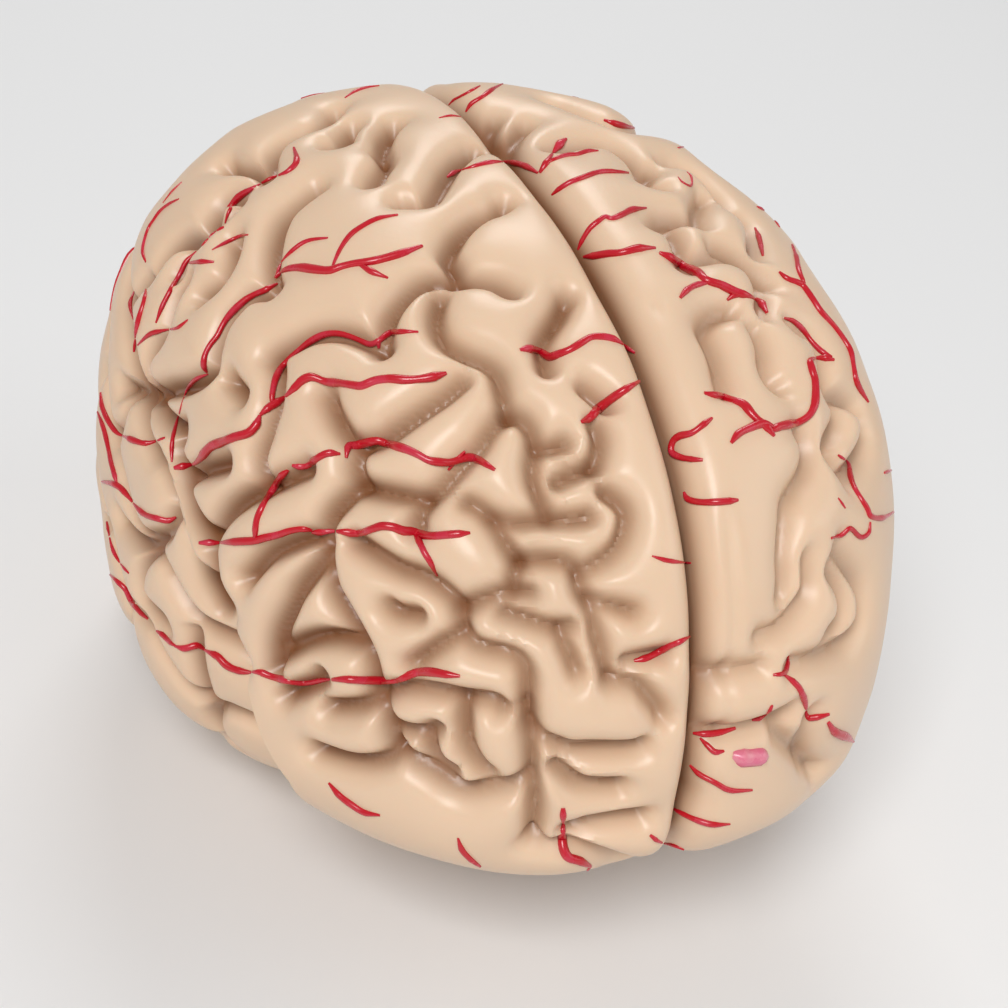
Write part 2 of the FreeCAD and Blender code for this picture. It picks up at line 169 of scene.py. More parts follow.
# Grooves of the left half, which are shallower
leftGrooves = [
    [(740, 299), (727, 301), (716, 309), (712, 319), (717, 331), (723, 343), (727, 356), (730, 370), (733, 382)],
    [(764, 318), (770, 330), (775, 345), (776, 360), (781, 373), (791, 380)],
    [(704, 245), (722, 243), (742, 249), (758, 259), (768, 271), (774, 286), (773, 302)],
    [(722, 232), (735, 237), (750, 245), (765, 258), (780, 272)],
    [(711, 184), (705, 195), (706, 210)],
    [(697, 207), (682, 204), (668, 206), (661, 213)],
    [(678, 215), (685, 228), (690, 243), (691, 255)],
    [(657, 156), (651, 163), (654, 171), (666, 174)],
    [(505, 138), (500, 128), (497, 118)],
    [(506, 138), (511, 127), (518, 117), (527, 110)],
    [(487, 122), (490, 112), (496, 103)],
    [(556, 136), (572, 132), (590, 131), (608, 133), (625, 140), (640, 150), (650, 160)],
    [(556, 93), (572, 99), (588, 106), (603, 112), (620, 118), (640, 121), (655, 124)],
    [(672, 153), (685, 156), (700, 165), (716, 177), (731, 190), (743, 206)],
    [(748, 205), (757, 214), (764, 228), (765, 243)],
    [(803, 316), (818, 325), (828, 340), (835, 358), (838, 375), (841, 388)],
    [(841, 388), (852, 390), (862, 396), (869, 404)],
    [(852, 408), (852, 422), (846, 434), (842, 446), (850, 460)],
    [(877, 430), (876, 448), (868, 464), (858, 474)],
    [(812, 425), (820, 440), (822, 456), (819, 471), (810, 486), (801, 502), (799, 520), (797, 540), (796, 560),
     (797, 580), (795, 600)],
    [(822, 560), (823, 590), (815, 608), (802, 625), (785, 637), (772, 641)],
    [(852, 548), (865, 566), (874, 586), (875, 607), (872, 627), (862, 647), (845, 659), (824, 666), (803, 671)],
    [(846, 570), (855, 585), (858, 605), (854, 627), (843, 643)],
    [(722, 746), (740, 744), (760, 739), (777, 733), (793, 726), (803, 718)],
    [(724, 684), (740, 679), (757, 676), (772, 674)],
    [(791, 727), (791, 741), (800, 752), (812, 762), (822, 770), (829, 779)],
    [(822, 722), (819, 738), (820, 754), (820, 768)],
    [(672, 786), (682, 794), (691, 806), (695, 812)],
]
# Grooves out of that view: degrees over the crown from the front, share of the half width in hundredths
backGrooves = [
    [(104, 14), (108, 24), (106, 34), (98, 58), (92, 78)],
    [(118, 6), (122, 18), (120, 28), (112, 40), (114, 52), (104, 74), (100, 90)],
    [(134, 10), (139, 20), (138, 32), (130, 44), (132, 56), (120, 76), (114, 88)],
    [(150, 6), (154, 18), (152, 28), (144, 40), (146, 50), (136, 62), (132, 72)],
    [(166, 12), (160, 24), (162, 36), (169, 48), (166, 60), (154, 70), (150, 80)],
    [(182, 8), (176, 22), (180, 34), (188, 46), (184, 58), (176, 70), (176, 82)],
    [(126, 20), (134, 26), (142, 22), (158, 20)],
    [(110, 44), (116, 38), (124, 42), (132, 44), (140, 40)],
    [(170, 24), (174, 34), (172, 44), (178, 54)],
    [(112, 62), (120, 66), (126, 62), (138, 66)],
    [(104, 44), (110, 52), (108, 64)],
    [(140, 80), (130, 86), (122, 92)],
]
sideGrooves = [
    [(-4, 34), (2, 40), (4, 46), (0, 54), (2, 60)],
    [(12, 38), (20, 42), (22, 50), (17, 58), (20, 64)],
    [(30, 40), (32, 48), (38, 52), (44, 56), (52, 60)],
    [(-66, 6), (-60, 10), (-58, 18), (-52, 22), (-50, 30), (-42, 36)],
    [(-74, -6), (-66, -8), (-62, -14), (-60, -26)],
    [(-30, 24), (-28, 34), (-22, 40), (-24, 50)],
    [(-46, 14), (-42, 22), (-36, 26)],
]
temporalGrooves = [
    [(-48, -6), (-38, 2), (-28, 3), (-18, 9), (-8, 9), (4, 15), (14, 17), (24, 23), (34, 26)],
    [(-46, -20), (-36, -14), (-26, -16), (-14, -9), (-4, -9), (8, -2), (18, -1), (30, 5), (42, 5)],
    [(-36, -34), (-24, -29), (-14, -31), (-2, -24), (8, -25)],
    [(44, 38), (52, 32), (50, 24), (54, 16), (49, 6)],
    [(62, 46), (60, 38), (66, 28), (64, 20), (70, 12), (67, 2), (68, -4)],
    [(-20, 19), (-18, 14), (-13, 10)],
    [(6, 27), (6, 21), (10, 16)],
    [(-30, -15), (-26, -21), (-25, -28)],
    [(0, -9), (-2, -16), (2, -23)],
    [(26, 23), (30, 15), (28, 4)],
    [(12, -2), (18, -8), (26, -8)],
    [(50, 6), (58, 2), (62, -4)],
]

# Painted arteries: picture points of each stroke, with its width in millimetres
rightStrokes = [
    (1.6, [(156, 323), (163, 305), (172, 288), (181, 272), (186, 262), (195, 253), (205, 243), (213, 234), (224, 227)]),
    (2.0, [(186, 263), (200, 262), (214, 262)]),
    (1.4, [(224, 227), (228, 214), (234, 204), (245, 194), (260, 184), (275, 177), (288, 173)]),
    (2.2, [(228, 207), (240, 196), (255, 187), (272, 178), (288, 172), (297, 162), (294, 148)]),
    (1.2, [(212, 250), (225, 243), (240, 236), (248, 235)]),
    (1.4, [(146, 262), (143, 252), (145, 240), (149, 228), (155, 219), (160, 212), (168, 205), (179, 199)]),
    (1.0, [(163, 203), (172, 192), (182, 182)]),
    (2.0, [(277, 284), (265, 290), (255, 294), (245, 300), (235, 309), (227, 318), (221, 328), (217, 336), (210, 345),
           (205, 355), (204, 365), (207, 372)]),
    (2.6, [(275, 278), (285, 270), (300, 268), (315, 270), (330, 271), (342, 267), (355, 264), (372, 262), (388, 258),
           (404, 253), (422, 246)]),
    (1.8, [(332, 268), (340, 250), (350, 236), (362, 227), (378, 219), (398, 215)]),
    (2.0, [(358, 264), (372, 272), (388, 278)]),
    (1.6, [(276, 276), (282, 262), (294, 250), (308, 241), (328, 238)]),
    (2.0, [(134, 352), (136, 335), (140, 318), (145, 300), (146, 290)]),
    (1.4, [(134, 322), (130, 305), (134, 292)]),
    (1.6, [(138, 345), (150, 334), (165, 330), (178, 328), (188, 320)]),
    (2.8, [(174, 468), (185, 466), (197, 462), (210, 447), (222, 442), (235, 437), (248, 433), (256, 425),
           (260, 415)]),
    (2.6, [(260, 415), (268, 408), (276, 403), (285, 397), (295, 388), (303, 380), (312, 377), (325, 381), (340, 383),
           (352, 385), (362, 386), (375, 381), (390, 379), (405, 380), (420, 379), (432, 377), (446, 373)]),
    (2.0, [(272, 405), (272, 395), (275, 380), (281, 368), (290, 358), (300, 349), (312, 340), (325, 334), (338, 333),
           (350, 336), (360, 340), (370, 344), (378, 341), (388, 334), (400, 332), (418, 332)]),
    (2.4, [(378, 338), (379, 348)]),
    (1.4, [(172, 462), (172, 445), (176, 425), (182, 405), (187, 390), (196, 379), (208, 374)]),
    (2.4, [(199, 543), (215, 543), (230, 542), (245, 541), (255, 540), (265, 537), (278, 534), (290, 530), (303, 528),
           (312, 530)]),
    (2.2, [(255, 540), (256, 528), (258, 518), (263, 508), (269, 497), (275, 486), (282, 475), (288, 470)]),
    (2.2, [(292, 465), (300, 466), (308, 465), (315, 460), (323, 455), (330, 453), (340, 454)]),
    (2.4, [(312, 532), (320, 531), (335, 531), (350, 532), (362, 532), (372, 529), (382, 526), (393, 527), (403, 531),
           (412, 532), (420, 535), (432, 536), (445, 535), (458, 534), (470, 533)]),
    (2.0, [(415, 535), (420, 543), (425, 553), (431, 562), (437, 575)]),
    (2.4, [(346, 458), (348, 447), (356, 446), (367, 442), (378, 440), (390, 445), (405, 449), (417, 454), (428, 460),
           (440, 462), (450, 462), (460, 459), (469, 457), (480, 461), (495, 470)]),
    (1.6, [(448, 470), (456, 460), (465, 451)]),
    (2.0, [(447, 177), (455, 172), (470, 168), (485, 164), (500, 162), (513, 163), (525, 166), (538, 173)]),
    (1.2, [(439, 118), (450, 116), (462, 117)]),
    (1.4, [(345, 98), (355, 92), (367, 88), (379, 86)]),
    (2.2, [(520, 350), (530, 349), (540, 352), (550, 357), (560, 354), (570, 350), (580, 344), (590, 338), (600, 337),
           (612, 339), (622, 344), (635, 353)]),
    (2.6, [(581, 422), (588, 418), (597, 410), (607, 402), (617, 395), (628, 388), (643, 379)]),
    (1.4, [(652, 556), (665, 560), (678, 562), (691, 563)]),
    (2.2, [(634, 661), (645, 659), (657, 653), (670, 645), (682, 640), (694, 634)]),
    (2.4, [(175, 646), (185, 648), (197, 645), (207, 651), (218, 656), (226, 664), (235, 669), (248, 672), (260, 672),
           (270, 676), (285, 680), (305, 682), (325, 680), (343, 679), (362, 680), (375, 680), (393, 680), (403, 677),
           (415, 673), (430, 672), (445, 674), (460, 676)]),
    (2.0, [(101, 393), (103, 408), (109, 422), (117, 433), (126, 437), (133, 440), (142, 443), (150, 443),
           (165, 438)]),
    (2.2, [(329, 783), (340, 795), (352, 804), (365, 812), (380, 815)]),
    (2.0, [(458, 838), (462, 849), (470, 858), (480, 866)]),
    (3.0, [(563, 808), (563, 822), (562, 835), (563, 848), (568, 857), (578, 860), (590, 866)]),
    (2.0, [(590, 866), (584, 875), (578, 885), (568, 890), (558, 890), (545, 886)]),
]
rightTemporalStrokes = [
    (1.8, [(97, 410), (103, 425), (107, 440), (111, 460), (115, 475), (117, 483)]),
    (2.2, [(100, 481), (117, 485), (127, 495), (137, 507), (147, 515), (158, 518), (168, 520), (176, 517)]),
    (1.8, [(107, 522), (110, 538), (114, 552), (121, 564), (129, 573)]),
    (2.0, [(105, 570), (113, 577), (125, 588), (131, 600), (140, 612), (148, 619)]),
    (1.8, [(157, 631), (163, 635), (170, 642), (178, 647)]),
]
leftStrokes = [
    (1.2, [(447, 107), (453, 101), (458, 98), (470, 92), (480, 86)]),
    (1.8, [(466, 112), (472, 104), (483, 97), (495, 88), (508, 82), (520, 79), (537, 80)]),
    (2.6, [(540, 173), (547, 163), (553, 153), (559, 145), (566, 139)]),
    (1.8, [(548, 163), (556, 159), (566, 156), (577, 155), (587, 152), (598, 151)]),
    (2.0, [(552, 195), (560, 189), (570, 183), (583, 178), (597, 173), (610, 172), (628, 173)]),
    (2.0, [(578, 250), (583, 240), (590, 229), (598, 222), (605, 217), (612, 219), (622, 215), (632, 210),
           (646, 208)]),
    (2.4, [(584, 257), (595, 256), (608, 254), (622, 253), (638, 249), (655, 248)]),
    (3.0, [(659, 253), (670, 259), (683, 267), (697, 273), (706, 281), (720, 285), (735, 292), (748, 296), (760, 302),
           (767, 313)]),
    (2.0, [(680, 298), (687, 290), (697, 285), (708, 283)]),
    (1.8, [(727, 300), (735, 295), (750, 297)]),
    (2.2, [(604, 120), (615, 124), (628, 127), (642, 129), (658, 130)]),
    (1.2, [(552, 89), (560, 91), (568, 95)]),
    (1.6, [(678, 148), (690, 147), (700, 150)]),
    (0.9, [(678, 177), (683, 183), (691, 186), (691, 177), (687, 172)]),
    (1.8, [(757, 207), (766, 212), (773, 219), (779, 227)]),
    (1.8, [(755, 228), (759, 238), (761, 246), (763, 256)]),
    (1.8, [(792, 245), (796, 258), (798, 270), (802, 280), (805, 284)]),
    (2.2, [(779, 272), (787, 279), (797, 283), (803, 287), (812, 300), (820, 312), (832, 325), (843, 340), (850, 353),
           (853, 368), (855, 380), (860, 390), (868, 402)]),
    (1.8, [(784, 318), (793, 321), (803, 330), (812, 342), (822, 352), (832, 357)]),
    (2.6, [(834, 360), (822, 358), (810, 360), (811, 370), (814, 380), (815, 392), (814, 405), (809, 415), (800, 421),
           (790, 424), (778, 427), (770, 432)]),
    (2.6, [(704, 393), (715, 396), (730, 400), (743, 405), (750, 413), (757, 420), (766, 427), (774, 436)]),
    (2.8, [(731, 443), (738, 434), (750, 428), (762, 424), (775, 428)]),
    (2.0, [(712, 418), (703, 425), (692, 433), (680, 436), (673, 442), (672, 452), (680, 457), (690, 459),
           (703, 460)]),
    (2.0, [(684, 492), (688, 499), (700, 502), (715, 502), (728, 501), (738, 500)]),
    (1.8, [(838, 455), (848, 463), (850, 476), (855, 490), (866, 508), (870, 516), (882, 518), (895, 511)]),
    (1.8, [(831, 538), (842, 534), (850, 528), (860, 537), (868, 533), (870, 522)]),
    (1.4, [(838, 498), (845, 508)]),
    (1.6, [(884, 473), (892, 470)]),
    (1.8, [(788, 656), (787, 665), (784, 673), (773, 675)]),
    (2.2, [(784, 675), (793, 682), (800, 690), (805, 702), (807, 716), (815, 717), (829, 714)]),
    (2.6, [(828, 722), (835, 732), (847, 737), (855, 743)]),
    (1.8, [(752, 720), (760, 718), (768, 712), (772, 705)]),
    (2.4, [(693, 733), (705, 734), (718, 733), (735, 728)]),
    (2.0, [(700, 738), (708, 746), (715, 752), (724, 751)]),
    (1.8, [(690, 765), (700, 774), (715, 782), (730, 790), (752, 790)]),
    (1.8, [(669, 806), (680, 812), (695, 819), (712, 824), (730, 824)]),
    (1.8, [(650, 835), (660, 842), (675, 845), (690, 852), (700, 853)]),
]
# Strokes out of that view: degrees over the crown, share of the half width in hundredths
backStrokes = [
    (2.0, [(96, 62), (102, 56), (108, 50), (116, 46), (124, 44)]),
    (1.8, [(108, 50), (110, 42), (108, 34)]),
    (2.2, [(120, 74), (126, 66), (132, 60), (140, 54), (146, 44)]),
    (1.8, [(132, 60), (136, 66), (142, 68)]),
    (2.0, [(140, 8), (144, 18), (150, 24), (154, 34)]),
    (2.0, [(160, 70), (166, 60), (170, 50), (176, 42), (178, 30)]),
    (1.6, [(170, 50), (164, 44), (160, 36)]),
    (2.0, [(112, 8), (116, 16), (122, 22), (126, 32)]),
    (1.8, [(170, 10), (174, 18), (182, 24)]),
    (2.0, [(146, 90), (142, 82), (136, 78), (130, 80)]),
    (1.8, [(100, 92), (104, 84), (110, 80), (114, 72)]),
    (1.6, [(184, 60), (180, 66), (172, 70), (166, 78)]),
]
leftPinkStrokes = [(3.0, [(733, 755), (745, 758), (760, 757), (768, 757)])]


def radiusAt(angle, form):
    up = np.sin(angle) > 0
    reach = np.where(np.cos(angle) > 0, form["front"], form["back"])
    rise = np.where(up, form["crown"], form["underside"])
    power = np.where(up, form["crownPower"], form["undersidePower"])
    share = (np.abs(np.cos(angle)) / reach) ** power + (np.abs(np.sin(angle)) / rise) ** power
    return share ** (-1 / power)


def widthAt(y, form):
    ahead = np.clip(-y / castForm["front"], 0, 1.2)
    behind = np.clip(y / castForm["back"], 0, 1.2)
    return form["halfWidth"] * (1 - form["frontNarrowing"] * ahead ** 2 - form["backNarrowing"] * behind ** 2)


def formPoints(angle, outward, side, form, inward=None):
    power = form["widthPower"]
    if inward is None:
        inward = np.clip(1 - outward ** power, 0, 1) ** (1 / power)
    rho = radiusAt(angle, form) * inward
    y, z = -rho * np.cos(angle), rho * np.sin(angle)
    gap = form["midlineGap"] / 2
    return np.stack([side * (gap + outward * (widthAt(y, form) - gap)), y, z], -1)


# Under 1 inside the form, 1 on it and over 1 outside
def levelAt(p, form):
    angle = np.arctan2(p[..., 2], -p[..., 1])
    inward = np.hypot(p[..., 1], p[..., 2]) / radiusAt(angle, form)
    return inward ** form["widthPower"] + (np.abs(p[..., 0]) / widthAt(p[..., 1], form)) ** form["widthPower"]


def outwardNormals(p, form):
    steps = np.eye(3) * finding["slopeStep"]
    slope = np.stack([levelAt(p + step, form) - levelAt(p - step, form) for step in steps], -1)
    return slope / np.maximum(np.linalg.norm(slope, axis=-1, keepdims=True), 1e-12)


def viewAxes():
    back = Vector((math.sin(view["turn"]) * math.cos(view["rise"]), -math.cos(view["turn"]) * math.cos(view["rise"]),
                   math.sin(view["rise"])))
    levelRight = Vector((0, 0, 1)).cross(back).normalized()
    levelUp = back.cross(levelRight)
    right = levelRight * math.cos(view["roll"]) + levelUp * math.sin(view["roll"])
    up = levelUp * math.cos(view["roll"]) - levelRight * math.sin(view["roll"])
    eye = back * view["distance"] + right * view["across"] + up * view["up"]
    return right, up, back, eye


# First points of the form along lines, or the nearest ones where a line passes beside it
def thrown(starts, directions, form, reach):
    steps = np.linspace(0, reach, finding["steps"])
    points = starts[:, None] + directions[:, None] * steps[None, :, None]
    levels = levelAt(points, form)
    inside = levels < 1
    hits = np.where(inside.any(1), inside.argmax(1), levels.argmin(1))
    rows = np.arange(len(starts))
    near, far = steps[np.maximum(hits - 1, 0)], steps[hits]
    for _ in range(finding["halvings"]):
        middle = (near + far) / 2
        isIn = levelAt(starts + directions * middle[:, None], form) < 1
        far = np.where(isIn, middle, far)
        near = np.where(isIn, near, middle)
    best = np.where(inside.any(1)[:, None], starts + directions * far[:, None], points[rows, hits])
    scale = np.where(inside.any(1), 1.0, levelAt(best, form) ** (-1 / form["widthPower"]))
    return best * scale[:, None]


def throughPicture(path, form):
    right, up, back, eye = (np.array(v) for v in viewAxes())
    units = view["picture"] * view["lens"] / view["sensor"]
    spots = (np.array(path, float) - view["picture"] / 2) / units
    sight = spots[:, :1] * right - spots[:, 1:] * up - back
    sight /= np.linalg.norm(sight, axis=1, keepdims=True)
    return thrown(np.repeat(eye[None], len(path), 0), sight, form, finding["reach"] * view["distance"])


def overCrown(path, form, side):
    path = np.array(path, float)
    return formPoints(np.radians(path[:, 0]), path[:, 1] / 100, side, form)


def onSide(path, form, side):
    path = np.array(path, float)
    out = 2 * form["halfWidth"]
    starts = np.stack([np.full(len(path), side * out), path[:, 0], path[:, 1]], -1)
    return thrown(starts, np.repeat([[-side, 0.0, 0.0]], len(path), 0), form, out)


# A smooth curve through the points of a path
def smoothed(points, parts=4):
    padded = np.vstack([2 * points[0] - points[1], points, 2 * points[-1] - points[-2]])
    t = (np.arange(parts) / parts)[:, None]
    pieces = []
    for a, b, c, d in zip(padded, padded[1:], padded[2:], padded[3:]):
        pieces.append(0.5 * (2 * b + (c - a) * t + (2 * a - 5 * b + 4 * c - d) * t ** 2
                             + (3 * b - a - 3 * c + d) * t ** 3))
    return np.vstack(pieces + [points[-1:]])


# The stretch of a path on the far side of the form
def outOfView(base, form):
    eye = np.array(viewAxes()[3])
    away = ((eye - base) * outwardNormals(base, form)).sum(1) < 0
    return base[away] if away.sum() > 2 else base[:0]


def pathDistance(p, path):
    a, b = path[:-1], path[1:]
    run = b - a
    share = np.einsum("nsk,sk->ns", p[:, None] - a[None], run) / np.maximum((run ** 2).sum(1), 1e-9)
    foot = a[None] + np.clip(share, 0, 1)[..., None] * run[None]
    return np.sqrt(((p[:, None] - foot) ** 2).sum(-1)).min(1)


# How far the surface lies under the plain form: narrow lines with rounded shoulders
def reliefDepth(p, grooves, depth, carving):
    total = np.zeros(len(p))
    reach = relief["reachShare"] * relief["broad"]
    for path, strength in grooves:
        low, high = path.min(0) - reach, path.max(0) + reach
        near = np.nonzero(((p > low) & (p < high)).all(1))[0]
        if len(near) == 0:
            continue
        away = pathDistance(p[near], path)
        away = np.hypot(away, relief["floorRound"]) - relief["floorRound"]
        line = carving["line"] * np.exp(-(away / relief["lineWidth"]) ** relief["linePower"])
        shoulder = np.exp(-(away / carving["shoulder"]) ** relief["shoulderPower"])
        shoulder = (1 - carving["line"] - relief["broadShare"]) * shoulder
        broad = relief["broadShare"] * np.exp(-(away / relief["broad"]) ** relief["broadPower"])
        total[near] += (strength * (line + shoulder + broad)) ** relief["blend"]
    fromRim = np.maximum(np.abs(p[:, 0]) - castForm["midlineGap"] / 2, 0)
    edge = relief["edgeDrop"] * np.exp(-(fromRim / relief["edgeReach"]) ** relief["edgePower"])
    return depth * total ** (1 / relief["blend"]) * (1 - relief["edgeHold"] * edge / relief["edgeDrop"]) + edge


def seamDepth(p, form, side):
    path = smoothed(overCrown(seam["path"], form, side), seam["parts"])
    near = np.nonzero(((p > path.min(0) - seam["band"]) & (p < path.max(0) + seam["band"])).all(1))[0]
    depth = np.zeros(len(p))
    depth[near] = seam["depth"] * np.exp(-(pathDistance(p[near], path) / seam["width"]) ** 2)
    return depth


def newMesh(name, bm):
    mesh = bpy.data.meshes.new(name)
    bm.to_mesh(mesh)
    bm.free()
    piece = bpy.data.objects.new(name, mesh)
    bpy.context.scene.collection.objects.link(piece)
    return piece


# Millimetres about the section centre become metres in the frame
def toPlace(mesh, sharpAngle=None):
    mesh.transform(Matrix.Scale(0.001, 4) @ Matrix.Translation(centre))
    for polygon in mesh.polygons:
        polygon.use_smooth = True
    if sharpAngle:
        mesh.set_sharp_from_angle(angle=math.radians(sharpAngle))


# Stores each point's depth below the plain form, which the material turns into painted shade in the grooves
def notePaintedShade(mesh, paintedShade):
    attribute = mesh.attributes.new("paintedShade", "FLOAT", "POINT")
    attribute.data.foreach_set("value", paintedShade.astype(np.float32))


# A grid rolled into half a ball with its pole out along X and its flat side closed
def rolledDome(around, outwards):
    bm = bmesh.new()
    bmesh.ops.create_grid(bm, x_segments=around, y_segments=outwards, size=1.0)
    for vert in bm.verts:
        turn, ring = (vert.co.x + 1) * math.pi, (vert.co.y + 1) * math.pi / 4
        vert.co = (math.sin(ring), -math.cos(ring) * math.cos(turn), math.cos(ring) * math.sin(turn))
    bmesh.ops.remove_doubles(bm, verts=bm.verts[:], dist=1e-5)
    bmesh.ops.edgeloop_fill(bm, edges=[e for e in bm.edges if e.is_boundary])
    return bm


# Shares of the way outwards and inwards for rings evenly spaced along the section
def ringShares(unit, form):
    turn = np.linspace(0, math.pi / 2, finding["ringSamples"])
    outward, inward = np.sin(turn) ** (2 / form["widthPower"]), np.cos(turn) ** (2 / form["widthPower"])
    run = np.cumsum(np.hypot(np.diff(outward, prepend=0) * form["halfWidth"],
                             np.diff(inward, prepend=1) * finding["sectionRadius"]))
    ring = np.arcsin(np.clip(unit[:, 0], 0, 1)) / (math.pi / 2)
    return np.interp(ring, run / run[-1], outward), np.interp(ring, run / run[-1], inward)


def carvedHalf(name, form, side, grooves, depth, carving, fineness):
    bm = rolledDome(int(form["around"] * fineness), int(form["outwards"] * fineness))
    unit = np.array([v.co for v in bm.verts])
    angle = np.arctan2(unit[:, 2], -unit[:, 1])
    outward, inward = ringShares(unit, form)
    rim = unit[:, 0] < 1e-4
    outward[rim] = 0
    base = formPoints(angle, outward, side, form, inward)
    drop = reliefDepth(base, grooves, depth, carving)
    swell = np.array([noise.noise(Vector(q) / relief["swellSize"]) for q in base])
    drop = drop + relief["swell"] * (swell + relief["swellSink"])
    if side > 0:
        drop = drop + seamDepth(base, form, side)
    move = outwardNormals(base, form) * drop[:, None]
    move[rim, 0] = 0
    for vert, place in zip(bm.verts, base - move):
        vert.co = place
    inner = [vert for vert, isRim in zip(bm.verts, rim) if not isRim]
    for _ in range(relief["smoothPasses"]):
        bmesh.ops.smooth_vert(bm, verts=inner, factor=relief["smoothShare"],
                              use_axis_x=True, use_axis_y=True, use_axis_z=True)
    if side < 0:
        bmesh.ops.reverse_faces(bm, faces=bm.faces[:])
    bmesh.ops.recalc_face_normals(bm, faces=bm.faces[:])
    return newMesh(name, bm)


def prism(outline, inner, outer, side):
    bm = bmesh.new()
    corners = [bm.verts.new((side * inner, y, z)) for y, z in outline]
    face = bm.faces.new(corners)
    grown = bmesh.ops.extrude_face_region(bm, geom=[face])
    moved = [g for g in grown["geom"] if isinstance(g, bmesh.types.BMVert)]
    bmesh.ops.translate(bm, verts=moved, vec=(side * (outer - inner), 0, 0))
    bmesh.ops.recalc_face_normals(bm, faces=bm.faces[:])
    return newMesh("cutter", bm)


def slab(yLow, yHigh, zLow, zHigh, inner, outer, side):
    return prism([(yLow, zLow), (yLow, zHigh), (yHigh, zHigh), (yHigh, zLow)], inner, outer, side)


def cutWith(piece, cutter, operation="DIFFERENCE"):
    modifier = piece.modifiers.new("cut", "BOOLEAN")
    modifier.operation = operation
    modifier.solver = "MANIFOLD"
    modifier.object = cutter
    graph = bpy.context.evaluated_depsgraph_get()
    cut = bpy.data.meshes.new_from_object(piece.evaluated_get(graph))
    piece.modifiers.clear()
    piece.data = cut
    bpy.data.objects.remove(cutter)


# Records how deep below the plain form each point lies, for the painted shade in the grooves, then moves the piece to
# its place
def finishCast(piece, form):
    mesh = piece.data
    p = np.empty(len(mesh.vertices) * 3)
    mesh.vertices.foreach_get("co", p)
    level = np.clip(levelAt(p.reshape(-1, 3), form), 0.0, 1.0)
    paintedShade = (1 - level ** (1 / form["widthPower"])) * relief["paintedShadeRadius"]
    notePaintedShade(mesh, np.where(paintedShade > relief["paintedShadeLimit"], 0.0, paintedShade))
    toPlace(mesh, relief["sharpAngle"])


# Upper and lower groove paths of one half, with their strengths
def grooveSets(side):
    traced, level = (rightGrooves if side < 0 else leftGrooves), strengths
    upper = [(smoothed(throughPicture(path, castForm)), 1.0) for path in traced]
    lower = [(smoothed(onSide(path, temporalForm, side)), level["temporal"]) for path in temporalGrooves]
    for paths, form in ((upper, castForm), (lower, temporalForm)):
        for path in backGrooves:
            paths.append((outOfView(smoothed(overCrown(path, form, side)), form), level["back"]))
    if side > 0:
        upper += [(outOfView(smoothed(onSide(path, castForm, side)), castForm), 1.0) for path in sideGrooves]
    else:
        upper.append((smoothed(throughPicture(lateralValley, castForm)), level["valley"]))
        beside = [path for path in rightGrooves if min(x for x, y in path) < finding["besideAcross"]
                  and max(y for x, y in path) > finding["besideDown"]]
        lower += [(smoothed(throughPicture(path, temporalForm)), 1.0) for path in beside + rightTemporalGrooves]
        lower.append((smoothed(throughPicture(lateralValley, temporalForm)), level["valley"]))
    upper.append((smoothed(onSide(partingLine[1:-1], castForm, side)), level["parting"]))
    lower.append((smoothed(onSide(partingLine[1:-1], temporalForm, side)), level["parting"]))
    return [pair for pair in upper if len(pair[0]) > 2], [pair for pair in lower if len(pair[0]) > 2]


def carveHalf(sideName, side):
    carving = rightCarving if side < 0 else leftCarving
    upperGrooves, lowerGrooves = grooveSets(side)
    keel, back, gap = parts["keelHalfWidth"], parts["keelBack"], parts["partGap"]
    inner, outer, under, far = parts["inner"], parts["outer"], parts["under"], parts["far"]
    upper = carvedHalf(sideName + "UpperLobe", castForm, side, upperGrooves, carving["depth"], carving,
                       carving["fineness"])
    raised = [(partingLine[0][0] - gap, partingLine[0][1] + gap)] + [(y, z + gap) for y, z in partingLine[1:]]
    below = [(raised[0][0], under)] + raised + [(outer, under)]
    cutWith(upper, prism(below, keel, outer, side))
    behind = prism(below, inner, keel + 1, side)
    cutWith(behind, slab(-far, back, -far, far, inner - 1, keel + 2, side))
    cutWith(upper, behind)
    cutWith(upper, slab(parts["stemFront"], outer, under, parts["stemTop"], inner, keel + 1, side))
    finishCast(upper, castForm)
    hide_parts(sideName + "_frontoparietal_lobe")
    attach(upper, sideName + "_upper")
    lower = carvedHalf(sideName + "LowerLobe", temporalForm, side, lowerGrooves,
                       carving["depth"] * temporalForm["depthShare"], carving, temporalForm["fineness"])
    outline = [(partingLine[0][0], under)] + partingLine + tentoriumLine
    cutWith(lower, prism(outline, inner, outer, side), "INTERSECT")
    cutWith(lower, slab(-far, back + gap, -far, far, inner, keel + gap, side))
    cutWith(lower, slab(-far, far, -far, -castForm["standDepth"], inner, far, side))
    finishCast(lower, temporalForm)
    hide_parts(sideName + "_temporo_occipital_lobe")
    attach(lower, sideName + "_lower")
    print("carved", sideName)
    return upper, lower


# Flattened oval with fine level leaves, in millimetres
cerebellumSize = {
    "middle": 48.0, "halfLength": 27.0, "halfWidth": 49.0, "top": -12.0, "leaves": 15, "leafDepth": 1.0,
    "leafPower": 0.6, "leafTilt": 0.9, "levelPower": 0.8, "roundPower": 2.4, "paintedShade": 0.6, "sharpAngle": 60,
    "around": 340, "outwards": 100,
}


